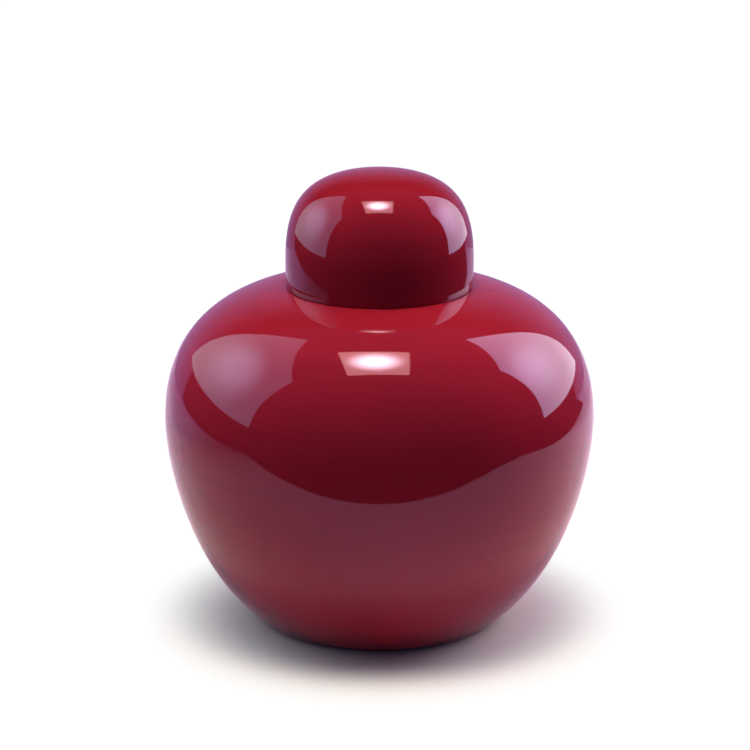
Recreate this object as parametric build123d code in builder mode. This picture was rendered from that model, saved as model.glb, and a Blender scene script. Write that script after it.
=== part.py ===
"""Ginger jar: a globular, high-shouldered vessel with a plain domed cap for a lid.

Millimetres. The origin is the centre of the foot, on the surface that the jar stands on, and +Z is
the jar's axis. Every piece is a turned shape, so each is one profile revolved about that axis.
"""
import os
from math import radians, tan

from build123d import *

# Vessel, outside. Slopes are in degrees above the horizontal, going outward.
foot_radius = 71.0
foot_slope = 37.0
belly_radius = 125.0
belly_height = 120.0
seat_height = 198.0
shoulder_slope = -7.0

# Fullness of the outside curves: a handle's share of the way from one end of its curve to the other.
flank_foot_fullness = 0.77
flank_belly_fullness = 0.21
shoulder_belly_fullness = 0.72
shoulder_seat_fullness = 0.455

# Vessel, inside. The wall thickens down the flank, as the maker leaves it to carry the weight above.
belly_wall = 5.5
shoulder_wall = 5.5
foot_wall = 4.0  # how far the floor's edge lies inside the foot's edge
floor_thickness = 7.0
floor_corner_radius = 12.0
inner_foot_fullness = 0.79
inner_mouth_fullness = 0.56
throat_rounding = 2.4

# Foot ring, which the jar stands on.
foot_ring_width = 9.0
foot_recess = 3.0
foot_edge_rounding = 1.5

# Neck collar, which the lid slips over.
neck_height = 24.0
neck_wall = 4.5
lip_rounding = 2.0
seat_margin = 0.6  # width of the seat that shows outside the lid's rim

# Lid.
lid_height = 67.4
lid_radius = 54.2
lid_widest_height = 14.4
lid_rim_tuck = 0.6  # how far the rim lies inside the lid's widest place
lid_rim_slope = 82.0
lid_rim_wall = 4.5
lid_crown_wall = 4.8
lid_bore_height = 20.0  # height of the straight bore inside the rim
lid_clearance = 1.8  # radial gap between the neck and the lid's bore
lid_rim_rounding = 1.4

# Fullness of the lid's curves.
rim_fullness = 0.5
side_fullness = 0.33
crown_side_fullness = 0.595
crown_top_fullness = 0.85
inner_side_fullness = 0.57
inner_top_fullness = 0.84

# A rounding takes at most this share of its wall, so that two of them fit on one edge.
wall_share = 0.45

# Radii that fit one inside another, from the lid's widest place inward.
lid_rim_radius = lid_radius - lid_rim_tuck
seat_radius = lid_rim_radius + seat_margin
lid_bore_radius = lid_rim_radius - lid_rim_wall
neck_radius = lid_bore_radius - lid_clearance
mouth_radius = neck_radius - neck_wall


def swelling(end, widest, slope, end_fullness, widest_fullness):
    """Four points of a curve from its narrow end to its widest place, where it stands upright.

    The first handle runs along the slope at the narrow end, and the second one straight up or down.
    """
    reach = end_fullness * (widest[0] - end[0])
    rise = widest_fullness * (end[1] - widest[1])
    end_handle = (end[0] + reach, end[1] + reach * tan(radians(slope)))
    return [end, end_handle, (widest[0], widest[1] + rise), widest]


def rings_at(part, height):
    """The circular edges of a turned part that lie at one height."""
    reach = 0.1
    circles = part.edges().filter_by(GeomType.CIRCLE)
    return circles.filter_by_position(Axis.Z, height - reach, height + reach)


# The vessel: hollow, and in one piece from its foot ring to the flat seat round its mouth. Its
# profile's corners are (radius, height).
foot = (foot_radius, 0)
belly = (belly_radius, belly_height)
seat = (seat_radius, seat_height)
mouth = (mouth_radius, seat_height)
throat = (mouth_radius, seat_height - shoulder_wall)
inner_belly = (belly_radius - belly_wall, belly_height)
floor = (foot_radius - foot_wall, foot_recess + floor_thickness)
recess = (foot_radius - foot_ring_width, foot_recess)

with BuildPart() as jar_body:
    with BuildSketch(Plane.XZ):
        with BuildLine():
            Polyline((0, floor[1]), (0, recess[1]), recess, (recess[0], 0), foot)
            Bezier(*swelling(foot, belly, foot_slope, flank_foot_fullness, flank_belly_fullness))
            Bezier(*swelling(seat, belly, shoulder_slope, shoulder_seat_fullness,
                             shoulder_belly_fullness))
            Polyline(seat, mouth, throat)
            Bezier(*swelling(throat, inner_belly, 0, inner_mouth_fullness,
                             shoulder_belly_fullness))
            Bezier(*swelling(floor, inner_belly, foot_slope, inner_foot_fullness,
                             flank_belly_fullness))
            Line(floor, (0, floor[1]))
        make_face()
    revolve(axis=Axis.Z)
    foot_edges = rings_at(jar_body, 0)
    floor_edge = rings_at(jar_body, floor[1])
    throat_edge = rings_at(jar_body, throat[1])
    fillet(foot_edges, radius=min(foot_edge_rounding, wall_share * foot_ring_width))
    fillet(floor_edge, radius=floor_corner_radius)
    fillet(throat_edge, radius=min(throat_rounding, wall_share * shoulder_wall))
jar_body.part.label = "jar_body"

# The neck collar: a short upright ring, joined to the seat all round the mouth.
with BuildPart() as neck_collar:
    with BuildSketch(Plane.XY.offset(seat_height)):
        Circle(neck_radius)
        Circle(mouth_radius, mode=Mode.SUBTRACT)
    extrude(amount=neck_height)
    lip_edges = rings_at(neck_collar, seat_height + neck_height)
    fillet(lip_edges, radius=min(lip_rounding, wall_share * neck_wall))
neck_collar.part.label = "neck_collar"

# The lid: a hollow cap whose flat rim stands on the seat. Its profile's corners are (radius, height
# above the seat).
rim = (lid_rim_radius, 0)
widest = (lid_radius, lid_widest_height)
crown = (0, lid_height)
bore_top = (lid_bore_radius, lid_bore_height)
inner_crown = (0, lid_height - lid_crown_wall)
lid_plane = Plane(origin=(0, 0, seat_height), x_dir=(1, 0, 0), z_dir=(0, -1, 0))

with BuildPart() as lid:
    with BuildSketch(lid_plane):
        with BuildLine():
            Bezier(*swelling(rim, widest, lid_rim_slope, rim_fullness, side_fullness))
            Bezier(*swelling(crown, widest, 0, crown_top_fullness, crown_side_fullness))
            Line(crown, inner_crown)
            Bezier(*swelling(inner_crown, bore_top, 0, inner_top_fullness, inner_side_fullness))
            Polyline(bore_top, (lid_bore_radius, 0), rim)
        make_face()
    revolve(axis=Axis.Z)
    rim_edges = rings_at(lid, seat_height)
    fillet(rim_edges, radius=min(lid_rim_rounding, wall_share * lid_rim_wall))
lid.part.label = "lid"

os.makedirs("parts", exist_ok=True)
for piece in (jar_body.part, neck_collar.part, lid.part):
    export_step(piece, f"parts/{piece.label}.step")
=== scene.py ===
"""Looks of the lidded ginger jar: a thrown vessel and a loose domed lid in deep red glaze."""
import math

import bpy
import numpy as np
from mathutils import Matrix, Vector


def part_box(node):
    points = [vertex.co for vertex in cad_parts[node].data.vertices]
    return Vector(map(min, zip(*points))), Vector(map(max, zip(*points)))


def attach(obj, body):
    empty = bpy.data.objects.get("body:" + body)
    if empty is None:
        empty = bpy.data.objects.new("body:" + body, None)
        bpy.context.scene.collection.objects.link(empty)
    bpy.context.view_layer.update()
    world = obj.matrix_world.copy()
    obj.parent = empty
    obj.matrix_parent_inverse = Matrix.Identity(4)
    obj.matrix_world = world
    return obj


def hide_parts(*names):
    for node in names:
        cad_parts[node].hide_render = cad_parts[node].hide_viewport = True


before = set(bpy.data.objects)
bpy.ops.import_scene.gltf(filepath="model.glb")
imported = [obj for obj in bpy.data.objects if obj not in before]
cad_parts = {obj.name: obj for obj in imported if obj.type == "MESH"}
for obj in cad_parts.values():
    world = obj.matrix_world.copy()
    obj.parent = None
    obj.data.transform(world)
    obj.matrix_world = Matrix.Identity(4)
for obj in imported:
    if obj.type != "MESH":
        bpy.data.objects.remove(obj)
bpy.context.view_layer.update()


# ---------------------------------------------------------------------------------------------
# The vessel. Porcelain clay thrown on a wheel, with a short collar thrown apart and luted on round
# the mouth. It is dipped in copper-red glaze, lined with a clear one, and wiped bare where it stands
# and where the lid sits, so that nothing sticks in the kiln. Its sizes are in millimetres.
MM = 0.001
body_low, body_high = (np.array(corner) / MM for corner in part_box("jar_body"))
collar_low, collar_high = (np.array(corner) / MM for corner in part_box("neck_collar"))
belly_radius = (body_high[0] - body_low[0]) / 2
seat_height = body_high[2]
neck_radius = (collar_high[0] - collar_low[0]) / 2
lip_height = collar_high[2]

# Outside. Slopes are in degrees above the horizontal, going outward.
foot_radius = 71.0
foot_slope = 37.0
belly_height = 120.0
seat_radius = 54.2
shoulder_slope = -7.0

# Inside and underneath.
belly_wall = 5.5
shoulder_wall = 5.5
neck_wall = 4.5
foot_wall = 4.0
floor_height = 10.0
foot_ring_width = 9.0
foot_recess = 3.0

# Fullness of the curves: a handle's share of the way from one end of its curve to the other.
flank_foot_fullness = 0.77
flank_belly_fullness = 0.21
shoulder_seat_fullness = 0.455
shoulder_belly_fullness = 0.72
inner_mouth_fullness = 0.56
inner_foot_fullness = 0.79

# How far each corner's rounding reaches along the two surfaces that meet there.
recess_rounding = 1.6
ring_inner_rounding = 1.2
foot_rounding = 1.0
neck_root_rounding = 1.0
lip_rounding = 2.0
throat_rounding = 2.4
floor_rounding = 9.0

COLUMNS = 288
turn = np.arange(COLUMNS) * 2 * np.pi / COLUMNS


def swelling(end, widest, slope, end_fullness, widest_fullness, steps):
    """A cubic curve from a narrow end, which it leaves along the slope, to the widest place, where it
    stands upright. Its four points are weighted by the terms of ((1 - t) + t) cubed, and each
    fullness is its handle's share of the way between the two ends."""
    reach = end_fullness * (widest[0] - end[0])
    rise = widest_fullness * (end[1] - widest[1])
    first = (end[0] + reach, end[1] + reach * math.tan(math.radians(slope)))
    second = (widest[0], widest[1] + rise)
    t = np.linspace(0, 1, steps)[:, None]
    weights = ((1 - t) ** 3, 3 * t * (1 - t) ** 2, 3 * t ** 2 * (1 - t), t ** 3)
    return sum(w * np.array(p) for w, p in zip(weights, (end, first, second, widest)))


def straight(start, end, pitch):
    """Evenly spaced points from start to end, no further apart than the pitch."""
    length = math.dist(start, end)
    t = np.linspace(0, 1, 1 + max(1, math.ceil(length / pitch)))[:, None]
    return (1 - t) * np.array(start) + t * np.array(end)


def cut(path, from_start, from_end):
    """A path without the given lengths at its two ends."""
    steps = np.hypot(*np.diff(path, axis=0).T)
    along = np.concatenate(([0], np.cumsum(steps)))
    first, last = from_start, along[-1] - from_end
    ends = [[np.interp(place, along, axis) for axis in path.T] for place in (first, last)]
    inside = path[(along > first + 0.01) & (along < last - 0.01)]
    return np.vstack((ends[0], inside, ends[1]))


def joined(paths, roundings, steps=9):
    """Paths end to end, as one profile, with the number of its path for each point. A corner with a
    rounding is cut back by it on both sides, and a quadratic curve whose handle is the old corner
    fills the gap. Its points have the number half way between those of the two paths."""
    points, parts = [], []
    reaches = [0, *roundings, 0]
    for number, path in enumerate(paths):
        piece = cut(path, reaches[number], reaches[number + 1])
        points.append(piece)
        parts.append(np.full(len(piece), number))
        if reaches[number + 1] > 0:
            ahead = cut(paths[number + 1], reaches[number + 1], 0)[0]
            t = np.linspace(0, 1, steps)[1:-1, None]
            points.append((1 - t) ** 2 * piece[-1] + 2 * t * (1 - t) * path[-1] + t ** 2 * ahead)
            parts.append(np.full(steps - 2, number + 0.5))
    points, parts = np.vstack(points), np.concatenate(parts)
    fresh = np.append(True, np.hypot(*np.diff(points, axis=0).T) > 0.001)
    return points[fresh], parts[fresh]


def run_length(profile):
    """How far along its profile each point lies."""
    return np.concatenate(([0], np.cumsum(np.hypot(*np.diff(profile, axis=0).T))))


def outward(profile):
    """The unit normal at each point of a profile, on the right of the way it runs."""
    ahead = np.gradient(profile, axis=0)
    normal = np.stack((ahead[:, 1], -ahead[:, 0]), axis=1)
    return normal / np.hypot(*normal.T)[:, None]


def turned(name, profile, swell, finish, thin, materials):
    """A turned piece, from one pole of its profile to the other. Ring i, column j lies at
    (r cos a, r sin a, z), where a is the column's angle and (r, z) is the profile's point i moved
    along its normal by swell[i, j]. Each strip of faces has the finish of the ring it starts from."""
    radius = profile[:, 0, None] + outward(profile)[:, 0, None] * swell
    height = profile[:, 1, None] + outward(profile)[:, 1, None] * swell
    grid = np.stack((radius * np.cos(turn), radius * np.sin(turn), height), axis=2)
    poles = [(0, 0, profile[0, 1]), (0, 0, profile[-1, 1])]
    points = np.vstack((poles[0], grid[1:-1].reshape(-1, 3), poles[1])) * MM

    # Faces: a fan at each pole, and strips of four-sided faces between the rings.
    rings = len(profile) - 2
    here = 1 + np.arange(rings * COLUMNS).reshape(rings, COLUMNS)
    after = np.roll(here, -1, axis=1)
    start = np.stack((np.zeros(COLUMNS, int), after[0], here[0]), axis=1)
    strips = np.stack((here[:-1], after[:-1], after[1:], here[1:]), axis=2).reshape(-1, 4)
    end = np.stack((here[-1], after[-1], np.full(COLUMNS, len(points) - 1)), axis=1)
    corners = np.concatenate((start.ravel(), strips.ravel(), end.ravel()))
    sides = np.repeat((3, 4, 3), (len(start), len(strips), len(end)))

    mesh = bpy.data.meshes.new(name)
    mesh.vertices.add(len(points))
    mesh.vertices.foreach_set("co", points.ravel())
    mesh.loops.add(len(corners))
    mesh.loops.foreach_set("vertex_index", corners)
    mesh.polygons.add(len(sides))
    mesh.polygons.foreach_set("loop_start", np.cumsum(sides) - sides)
    mesh.polygons.foreach_set("material_index", np.repeat(finish[:-1], COLUMNS))
    mesh.polygons.foreach_set("use_smooth", np.ones(len(sides), bool))
    thinness = np.concatenate((thin[:1], np.repeat(thin[1:-1], COLUMNS), thin[-1:]))
    mesh.attributes.new("thin", "FLOAT", "POINT").data.foreach_set("value", thinness)
    mesh.update(calc_edges=True)
    for material in materials:
        mesh.materials.append(material)
    made = bpy.data.objects.new(name, mesh)
    bpy.context.scene.collection.objects.link(made)
    return made


def linear(colour):
    """An sRGB hex colour as the linear red, green, blue and alpha that shaders take."""
    parts = [int(colour[k:k + 2], 16) / 255 for k in (1, 3, 5)]
    return tuple(c / 12.92 if c <= 0.04045 else ((c + 0.055) / 1.055) ** 2.4 for c in parts) + (1,)


def add(tree, kind, links=(), **settings):
    """A shader node with its settings. An attribute is set by its name, and an input by its number
    or name from links, which pairs it with a value or with another node's output."""
    made = tree.nodes.new(kind)
    for name, value in settings.items():
        setattr(made, name, value)
    for name, value in dict(links).items():
        if isinstance(value, bpy.types.NodeSocket):
            tree.links.new(value, made.inputs[name])
        else:
            made.inputs[name].default_value = value
    return made


def fresh_material(name):
    """An empty material, its node tree and its output node."""
    material = bpy.data.materials.new(name)
    material.use_nodes = True
    material.node_tree.nodes.clear()
    return material, material.node_tree, material.node_tree.nodes.new("ShaderNodeOutputMaterial")


def copper_red_glaze(name, deep, bright, thin):
    """Copper-red glaze, fired in reduction: a glassy coat about 0.5 mm thick over the white body. It
    shows a saturated blood red that pools darker, runs in faint level streaks from the wheel, thins
    to a browner red on sharp edges and lips, and mirrors like glass, with the odd pinhole."""
    material, tree, output = fresh_material(name)
    place = add(tree, "ShaderNodeTexCoord").outputs["Object"]

    # Pools about 70 mm across, streaks that run round the piece, 6 mm apart in height, and a mottle
    # of spots 2.4 mm across, mixed in these shares.
    pools = add(tree, "ShaderNodeTexNoise", {"Vector": place, "Scale": 14, "Detail": 2})
    level = add(tree, "ShaderNodeMapping", {"Vector": place, "Scale": (4, 4, 160)})
    streaks = add(tree, "ShaderNodeTexNoise", {"Vector": level.outputs[0], "Scale": 1, "Detail": 3})
    mottle = add(tree, "ShaderNodeTexNoise", {"Vector": place, "Scale": 420, "Detail": 2})
    tone = 0.0
    for pattern, weight in ((pools, 0.60), (streaks, 0.30), (mottle, 0.10)):
        tone = add(tree, "ShaderNodeMath", {0: pattern.outputs[0], 1: weight, 2: tone},
                   operation="MULTIPLY_ADD").outputs[0]
    share = add(tree, "ShaderNodeMapRange", {"Value": tone, "From Min": 0.30, "From Max": 0.70})
    red = add(tree, "ShaderNodeMix", {"Factor": share.outputs[0], 6: linear(deep),
                                      7: linear(bright)}, data_type="RGBA")

    # Where the coat is thin the body shows through it.
    edge = add(tree, "ShaderNodeAttribute", attribute_name="thin")
    worn = add(tree, "ShaderNodeMix", {"Factor": edge.outputs["Fac"], 6: red.outputs[2],
                                       7: linear(thin)}, data_type="RGBA")

    # Pinholes and dust: spots up to 0.7 mm across at the middles of 14 mm cells, in a quarter of the
    # cells. Few middles lie right at the surface, so that a piece shows only a handful.
    cells = add(tree, "ShaderNodeTexVoronoi", {"Vector": place, "Scale": 70})
    near = add(tree, "ShaderNodeMath", {0: cells.outputs["Distance"], 1: 0.026},
               operation="LESS_THAN")
    chosen = add(tree, "ShaderNodeSeparateColor", {"Color": cells.outputs["Color"]})
    some = add(tree, "ShaderNodeMath", {0: chosen.outputs[0], 1: 0.25}, operation="LESS_THAN")
    speck = add(tree, "ShaderNodeMath", {0: near.outputs[0], 1: some.outputs[0]},
                operation="MULTIPLY")
    faint = add(tree, "ShaderNodeMath", {0: speck.outputs[0], 1: 0.35}, operation="MULTIPLY")
    colour = add(tree, "ShaderNodeMix", {"Factor": faint.outputs[0], 6: worn.outputs[2],
                                         7: linear("#c98d8f")}, data_type="RGBA")

    # Handling marks: faint level scuffs, about a millimetre high, that dull the mirror a little.
    rubbed = add(tree, "ShaderNodeMapping", {"Vector": place, "Scale": (40, 40, 900)})
    scuffs = add(tree, "ShaderNodeTexNoise", {"Vector": rubbed.outputs[0], "Scale": 1, "Detail": 4})
    dull = add(tree, "ShaderNodeMapRange", {"Value": scuffs.outputs[0], "From Min": 0.55,
                                            "From Max": 0.80, "To Min": 0.03, "To Max": 0.10})

    # The melt's surface is nearly flat: swells 8 mm across, a few thousandths of a millimetre high.
    swells = add(tree, "ShaderNodeTexNoise", {"Vector": place, "Scale": 120, "Detail": 1})
    bump = add(tree, "ShaderNodeBump", {"Strength": 1, "Distance": 6e-6,
                                        "Height": swells.outputs[0]})
    shader = add(tree, "ShaderNodeBsdfPrincipled", {
        "Base Color": colour.outputs[2], "Roughness": dull.outputs[0], "IOR": 1.6,
        "Specular Tint": linear("#e1c4ff"), "Normal": bump.outputs[0]})
    tree.links.new(shader.outputs[0], output.inputs[0])
    return material


def bare_porcelain(name):
    """Wiped porcelain, fired but not glazed: an off-white, dry, very finely sandy surface, with a warm
    flush in patches 17 mm across where the flame reached it."""
    material, tree, output = fresh_material(name)
    place = add(tree, "ShaderNodeTexCoord").outputs["Object"]
    flush = add(tree, "ShaderNodeTexNoise", {"Vector": place, "Scale": 60, "Detail": 3})
    colour = add(tree, "ShaderNodeMix", {"Factor": flush.outputs[0], 6: linear("#d9cbb8"),
                                         7: linear("#b98f6d")}, data_type="RGBA")
    grain = add(tree, "ShaderNodeTexNoise", {"Vector": place, "Scale": 3000, "Detail": 2})
    bump = add(tree, "ShaderNodeBump", {"Strength": 1, "Distance": 4e-5,
                                        "Height": grain.outputs[0]})
    shader = add(tree, "ShaderNodeBsdfPrincipled", {
        "Base Color": colour.outputs[2], "Roughness": 0.85, "IOR": 1.5, "Normal": bump.outputs[0]})
    tree.links.new(shader.outputs[0], output.inputs[0])
    return material


def clear_lining(name):
    """Clear glaze poured round the inside, over the white body: a glossy white with a blue-green
    tinge where it pools thicker, in patches 22 mm across."""
    material, tree, output = fresh_material(name)
    place = add(tree, "ShaderNodeTexCoord").outputs["Object"]
    pools = add(tree, "ShaderNodeTexNoise", {"Vector": place, "Scale": 45, "Detail": 3})
    colour = add(tree, "ShaderNodeMix", {"Factor": pools.outputs[0], 6: linear("#e9e7de"),
                                         7: linear("#cfd6cb")}, data_type="RGBA")
    shader = add(tree, "ShaderNodeBsdfPrincipled", {
        "Base Color": colour.outputs[2], "Roughness": 0.08, "IOR": 1.5})
    tree.links.new(shader.outputs[0], output.inputs[0])
    return material


foot = (foot_radius, 0)
belly = (belly_radius, belly_height)
seat = (seat_radius, seat_height)
neck_root = (neck_radius, seat_height)
lip_outer = (neck_radius, lip_height)
lip_inner = (neck_radius - neck_wall, lip_height)
throat = (neck_radius - neck_wall, seat_height - shoulder_wall)
inner_belly = (belly_radius - belly_wall, belly_height)
floor_edge = (foot_radius - foot_wall, floor_height)
recess_edge = (foot_radius - foot_ring_width, foot_recess)
ring_inner = (recess_edge[0], 0)

# The profile runs from the middle of the foot's recess, out and up the outside, over the lip, and
# down the inside to the middle of the floor. Its paths are numbered from 0.
vessel_paths = [
    straight((0, foot_recess), recess_edge, 8),
    straight(recess_edge, ring_inner, 1),
    straight(ring_inner, foot, 1.5),
    swelling(foot, belly, foot_slope, flank_foot_fullness, flank_belly_fullness, 70),
    swelling(seat, belly, shoulder_slope, shoulder_seat_fullness, shoulder_belly_fullness,
             75)[::-1],
    straight(seat, neck_root, 1),
    straight(neck_root, lip_outer, 4),
    straight(lip_outer, lip_inner, 0.5),
    straight(lip_inner, throat, 5),
    swelling(throat, inner_belly, 0, inner_mouth_fullness, shoulder_belly_fullness, 45),
    swelling(floor_edge, inner_belly, foot_slope, inner_foot_fullness, flank_belly_fullness,
             45)[::-1],
    straight(floor_edge, (0, floor_height), 4),
]
vessel_roundings = [recess_rounding, ring_inner_rounding, foot_rounding, 0, 0, neck_root_rounding,
                    lip_rounding, lip_rounding, throat_rounding, 0, floor_rounding]
profile, part = joined(vessel_paths, vessel_roundings)
ring_radius, ring_height = profile.T

# The hand shows in a slight oval, a slow wave and level rings 17 mm apart, 0.15 mm high at most in
# all, which fade out towards the foot and the seat.
hand_fade = 25
outside = (part >= 3) & (part <= 4)
from_ends = np.minimum(ring_height, seat_height - ring_height)
fade_outside = np.where(outside, np.clip(from_ends / hand_fade, 0, 1), 0)
hand = (0.10 * np.sin(2 * turn + 0.7)
        + 0.04 * np.sin(3 * turn + ring_height[:, None] / 40)
        + 0.010 * np.sin(2 * np.pi * ring_height[:, None] / 17 + 0.8 * np.sin(turn)))

# The fingers left a spiral of grooves inside, which fades out at the throat and mid-floor.
groove_depth = 0.22
groove_pitch = 9
groove_fade = 15
inside = (part >= 9) & (part <= 11)
depth = np.minimum(throat[1] - ring_height, ring_radius / 2)
fade_inside = np.where(inside, np.clip(depth / groove_fade, 0, 1), 0)
fingers = groove_depth * np.sin(2 * np.pi * run_length(profile)[:, None] / groove_pitch + turn)
swell = fade_outside[:, None] * hand + fade_inside[:, None] * fingers

# Finishes, by their places in the list of materials. The lid's rim bears on the bare part of the
# seat, and a line of glaze is left on each side of it.
RED, BARE, LINING = 0, 1, 2
glazed_seat_edge = 1.2
glazed_neck_root = 1.0
finish = np.full(len(profile), RED)
finish[part < 1.5] = LINING
finish[(part >= 1.5) & (part <= 2)] = BARE
finish[(part == 5) & (ring_radius < seat_radius - glazed_seat_edge)
       & (ring_radius > neck_radius + glazed_neck_root)] = BARE
finish[part >= 8] = LINING

# The red glaze thins on the lip and just above the foot.
lip_thin_height = 2.5
foot_thin_height = 3
below_lip = lip_height - ring_height
lip_thin = np.clip(1 - below_lip / lip_thin_height, 0, 1) * ((part >= 6) & (part < 9))
foot_thin = np.clip(1 - ring_height / foot_thin_height, 0, 1) * (part >= 2.5) * (part <= 3)
thin = 0.6 * lip_thin + 0.5 * foot_thin

porcelain = bare_porcelain("bare_porcelain")
lining = clear_lining("clear_lining_glaze")
vessel = turned("vessel", profile, swell, finish, thin,
                [copper_red_glaze("copper_red_glaze_vessel", "#911728", "#a01c2e", "#8a3030"),
                 porcelain, lining])
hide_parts("jar_body", "neck_collar")
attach(vessel, "jar")


# ---------------------------------------------------------------------------------------------
# The lid. A loose cap thrown upside down and turned smooth, in the same two glazes. It slips over
# the collar, and its bare rim stands on the seat.
lid_low, lid_high = (np.array(corner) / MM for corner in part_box("lid"))
lid_radius = (lid_high[0] - lid_low[0]) / 2
lid_top = lid_high[2]
lid_rim_height = lid_low[2]
lid_widest_rise = 14.4
lid_rim_radius = 53.6
lid_rim_slope = 75.0
lid_rim_wall = 4.5
lid_crown_wall = 4.8
lid_bore_height = 20.0
lid_bore_rounding = 1.4
lid_edge_rounding = 0.7

# Fullness of the lid's curves.
rim_fullness = 0.5
side_fullness = 0.9
crown_top_fullness = 0.85
crown_side_fullness = 0.595
inner_top_fullness = 0.84
inner_side_fullness = 0.57

lid_rim = (lid_rim_radius, lid_rim_height)
lid_widest = (lid_radius, lid_rim_height + lid_widest_rise)
lid_crown = (0, lid_top)
bore_top = (lid_rim_radius - lid_rim_wall, lid_rim_height + lid_bore_height)
bore_rim = (bore_top[0], lid_rim_height)
inner_crown = (0, lid_top - lid_crown_wall)

# The profile runs from the middle of the hollow's top, down the bore, round the rim, and up the
# outside to the crown.
lid_paths = [
    swelling(inner_crown, bore_top, 0, inner_top_fullness, inner_side_fullness, 50),
    straight(bore_top, bore_rim, 4),
    straight(bore_rim, lid_rim, 0.3),
    swelling(lid_rim, lid_widest, lid_rim_slope, rim_fullness, side_fullness, 30),
    swelling(lid_crown, lid_widest, 0, crown_top_fullness, crown_side_fullness, 120)[::-1],
]
lid_profile, lid_part = joined(lid_paths, [0, lid_bore_rounding, lid_edge_rounding, 0])
lid_ring_radius, lid_ring_height = lid_profile.T

# The hand's oval, wave and rings, half as high as the vessel's, fade out at the rim and the crown.
rim_fade = 15
crown_fade = 20
above_rim = lid_ring_height - lid_rim_height
lid_fade = np.where(lid_part >= 3, np.clip(above_rim / rim_fade, 0, 1)
                    * np.clip(lid_ring_radius / crown_fade, 0, 1), 0)
lid_hand = (0.05 * np.sin(2 * turn + 2.4)
            + 0.02 * np.sin(3 * turn + lid_ring_height[:, None] / 25)
            + 0.006 * np.sin(2 * np.pi * lid_ring_height[:, None] / 11 + 0.8 * np.sin(turn)))

# The grooves inside fade out at the middle and where the bore begins.
lid_groove_depth = 0.15
lid_groove_pitch = 8
lid_groove_fade = 15
lid_inside = ((lid_part < 1) * np.clip(lid_ring_radius / lid_groove_fade, 0, 1)
              * np.clip(bore_top[0] - lid_ring_radius, 0, 1))
lid_turns = 2 * np.pi * run_length(lid_profile)[:, None] / lid_groove_pitch
lid_fingers = lid_groove_depth * np.sin(lid_turns + turn)
lid_swell = lid_fade[:, None] * lid_hand + lid_inside[:, None] * lid_fingers

lid_finish = np.full(len(lid_profile), LINING)
lid_finish[lid_part > 1] = BARE
lid_finish[lid_part > 2] = RED
rim_thin_height = 1.5
lid_thin = 0.3 * np.clip(1 - above_rim / rim_thin_height, 0, 1) * (lid_part > 2)

# The lid's red is a little darker than the vessel's.
lid = turned("lid_cap", lid_profile, lid_swell, lid_finish, lid_thin,
             [copper_red_glaze("copper_red_glaze_lid", "#871322", "#951827", "#7c1a24"),
              porcelain, lining])
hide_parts("lid")
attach(lid, "lid")


# ---------------------------------------------------------------------------------------------
# The studio table: white paper pulled forward over a table, 1.36 m wide where it ends 0.30 m in front
# of the jar, and running up behind it. Only its light and its mirror image on the glaze are used, and
# the view itself shows an endless white floor in its place. Everything from here on is in metres.
paper_left, paper_right = -0.74, 0.62
paper_front, paper_back, paper_top = -0.30, 0.96, 1.5
paper_half_width = 1.3  # of the stretch behind the jar
paper_height = -0.0004
ground_height = -0.0002
ground_reach = 30


def sheet(name, corners, material):
    """A flat sheet through its corners, in the studio and no part of the jar."""
    mesh = bpy.data.meshes.new(name)
    mesh.from_pydata(corners, [], [tuple(range(len(corners)))])
    mesh.materials.append(material)
    made = bpy.data.objects.new(name, mesh)
    bpy.context.scene.collection.objects.link(made)
    return made


def white_paper(name, colour, faint, axis, none_at, full_at):
    """Uncoated paper: flat and matt. Its own faint light stands for lamps behind the jar. It grows
    along an axis, from none at one place to full at another."""
    material, tree, output = fresh_material(name)
    place = add(tree, "ShaderNodeTexCoord").outputs["Object"]
    parts = add(tree, "ShaderNodeSeparateXYZ", {0: place})
    rise = add(tree, "ShaderNodeMapRange", {
        "Value": parts.outputs[axis], "From Min": none_at, "From Max": full_at, "To Min": 0,
        "To Max": faint}, interpolation_type="SMOOTHSTEP")
    matt = add(tree, "ShaderNodeBsdfDiffuse", {"Color": linear(colour)})
    light = add(tree, "ShaderNodeEmission", {"Color": linear("#c4a6ee"),
                                             "Strength": rise.outputs[0]})
    both = add(tree, "ShaderNodeAddShader", {0: matt.outputs[0], 1: light.outputs[0]})
    tree.links.new(both.outputs[0], output.inputs[0])
    return material


# The lying sheet's right front corner is cut off, and its sides spread towards the back.
lying_outline = [
    (paper_left, paper_front), (paper_right - 0.2, paper_front), (paper_right, paper_front + 0.1),
    (paper_right, 0.55), (paper_half_width, paper_back), (-paper_half_width, paper_back),
    (-1.05, 0.45)]
rising_outline = [(-paper_half_width, 0), (paper_half_width, 0), (paper_half_width, paper_top),
                  (-paper_half_width, paper_top)]
papers = [
    sheet("paper_lying", [(x, y, paper_height) for x, y in lying_outline],
          white_paper("table_paper", "#e4d2d4", 0.55, "Y", -0.1, 0.4)),
    sheet("paper_rising", [(x, paper_back, z) for x, z in rising_outline],
          white_paper("backdrop_paper", "#585058", 0.55, "Z", 1.1, 0.2))]
for paper in papers:
    paper.visible_camera = False
    paper.visible_shadow = False

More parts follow.
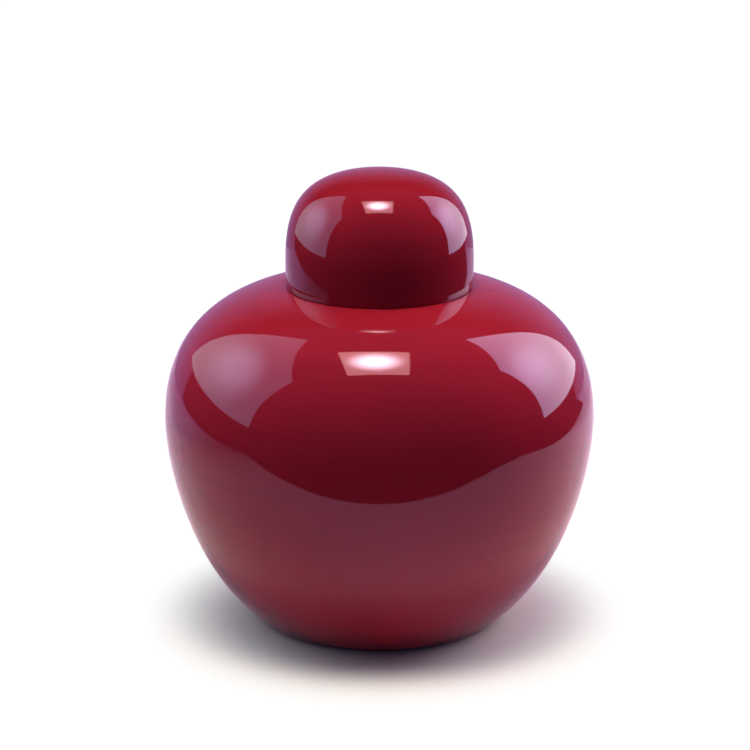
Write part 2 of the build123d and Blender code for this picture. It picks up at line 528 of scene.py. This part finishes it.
# The floor that the view shows: matt white in the jar's own shade, and glowing brighter than the
# view can show from 0.15 m out. From below it is clear, so that the foot can be looked at.
past_white = 1.02
floor_material, tree, output = fresh_material("white_floor")
place = add(tree, "ShaderNodeTexCoord").outputs["Object"]
centred = add(tree, "ShaderNodeVectorMath", {0: place, 1: (-0.003, 0.010, 0)}, operation="ADD")
distance = add(tree, "ShaderNodeVectorMath", {0: centred.outputs[0]}, operation="LENGTH")
glow = add(tree, "ShaderNodeMapRange", {"Value": distance.outputs["Value"], "From Min": 0.080,
                                        "From Max": 0.152}, interpolation_type="SMOOTHSTEP")
matt = add(tree, "ShaderNodeBsdfDiffuse", {"Color": linear("#f2e4e0")})
shining = add(tree, "ShaderNodeEmission", {"Color": (1, 1, 1, 1), "Strength": past_white})
mixed = add(tree, "ShaderNodeMixShader", {0: glow.outputs[0], 1: matt.outputs[0],
                                          2: shining.outputs[0]})
side = add(tree, "ShaderNodeNewGeometry")
clear = add(tree, "ShaderNodeBsdfTransparent")
one_sided = add(tree, "ShaderNodeMixShader", {0: side.outputs["Backfacing"], 1: mixed.outputs[0],
                                              2: clear.outputs[0]})
tree.links.new(one_sided.outputs[0], output.inputs[0])
ground = sheet("floor", [(x * ground_reach, y * ground_reach, ground_height)
                         for x, y in ((-1, -1), (1, -1), (1, 1), (-1, 1))], floor_material)
ground.visible_diffuse = False
ground.visible_glossy = False
ground.visible_shadow = False


# ---------------------------------------------------------------------------------------------
# The studio lights: a soft panel low on each side, a small one overhead with its lamp showing as a
# hot spot, and a dim room. The view shows none of them, and the glaze mirrors them all.
def soft_panel(name, corners, cloth_colour, cloth, lamp_place, lamp_colour, lamp, spread):
    """A lit cloth through its corners, with the light of its lamp showing through: full at the lamp's
    place, and gone at the distance spread. Cloth and lamp are the strengths of the two lights."""
    material, tree, output = fresh_material(name)
    place = add(tree, "ShaderNodeTexCoord").outputs["Object"]
    away = add(tree, "ShaderNodeVectorMath", {0: place, 1: lamp_place}, operation="DISTANCE")
    fall = add(tree, "ShaderNodeMapRange", {
        "Value": away.outputs["Value"], "From Min": 0, "From Max": spread, "To Min": 1,
        "To Max": 0}, interpolation_type="SMOOTHERSTEP")
    flat = add(tree, "ShaderNodeEmission", {"Color": linear(cloth_colour), "Strength": cloth})
    strength = add(tree, "ShaderNodeMath", {0: fall.outputs[0], 1: lamp}, operation="MULTIPLY")
    glow = add(tree, "ShaderNodeEmission", {"Color": linear(lamp_colour),
                                            "Strength": strength.outputs[0]})
    both = add(tree, "ShaderNodeAddShader", {0: flat.outputs[0], 1: glow.outputs[0]})
    tree.links.new(both.outputs[0], output.inputs[0])
    made = sheet(name, corners, material)
    made.visible_camera = False
    return made


overhead_height = 1.28
soft_panel("panel_left", [(-0.605, -0.270, 0.184), (-0.345, 0.245, 0.215), (-0.315, 0.300, 0.985),
                          (-0.655, -0.367, 0.903)],
           "#dcf6ff", 1.35, (-0.451, 0.032, 0.44), "#dcfcff", 2.4, 0.30)
soft_panel("panel_right", [(0.835, 0.003, 0.149), (0.477, 0.498, 0.166), (0.500, 0.470, 1.220),
                           (0.852, -0.022, 0.892)],
           "#f0f0ff", 3.3, (0.710, 0.180, 0.55), "#f0f8ff", 3.2, 0.42)
soft_panel("panel_overhead", [(-0.280, -0.470, overhead_height), (0.260, -0.460, overhead_height),
                              (0.190, 0.070, overhead_height), (-0.265, 0.080, overhead_height)],
           "#ffd6af", 6.6, (-0.030, -0.160, overhead_height), "#ffffe0", 32.0, 0.27)

# The room is a dim blue that brightens upward, and the view itself sees plain white.
world = bpy.data.worlds.new("studio")
bpy.context.scene.world = world
world.use_nodes = True
tree = world.node_tree
tree.nodes.clear()
direction = add(tree, "ShaderNodeTexCoord").outputs["Generated"]
height = add(tree, "ShaderNodeSeparateXYZ", {0: direction})
dim = add(tree, "ShaderNodeMapRange", {"Value": height.outputs["Z"], "From Min": -0.2,
                                       "From Max": 1, "To Min": 0.05, "To Max": 0.15})
room = add(tree, "ShaderNodeBackground", {"Color": linear("#80b8ff"), "Strength": dim.outputs[0]})
plain = add(tree, "ShaderNodeBackground", {"Color": (1, 1, 1, 1), "Strength": past_white})
seen = add(tree, "ShaderNodeLightPath")
both = add(tree, "ShaderNodeMixShader", {0: seen.outputs["Is Camera Ray"], 1: room.outputs[0],
                                         2: plain.outputs[0]})
output = tree.nodes.new("ShaderNodeOutputWorld")
tree.links.new(both.outputs[0], output.inputs[0])
bpy.context.scene.view_settings.view_transform = "Standard"


# ---------------------------------------------------------------------------------------------
# The camera: a long lens 1.4 m in front of the jar and well above it, looking down at the belly by
# the tilt, in degrees.
tilt = 16.44
camera = bpy.data.cameras.new("camera")
camera.sensor_width = 36
camera.lens = 123.15
eye = bpy.data.objects.new("camera", camera)
bpy.context.scene.collection.objects.link(eye)
eye.location = (-0.0026, -1.4348, 0.5674)
eye.rotation_euler = (math.radians(90 - tilt), 0, 0)
bpy.context.scene.camera = eye
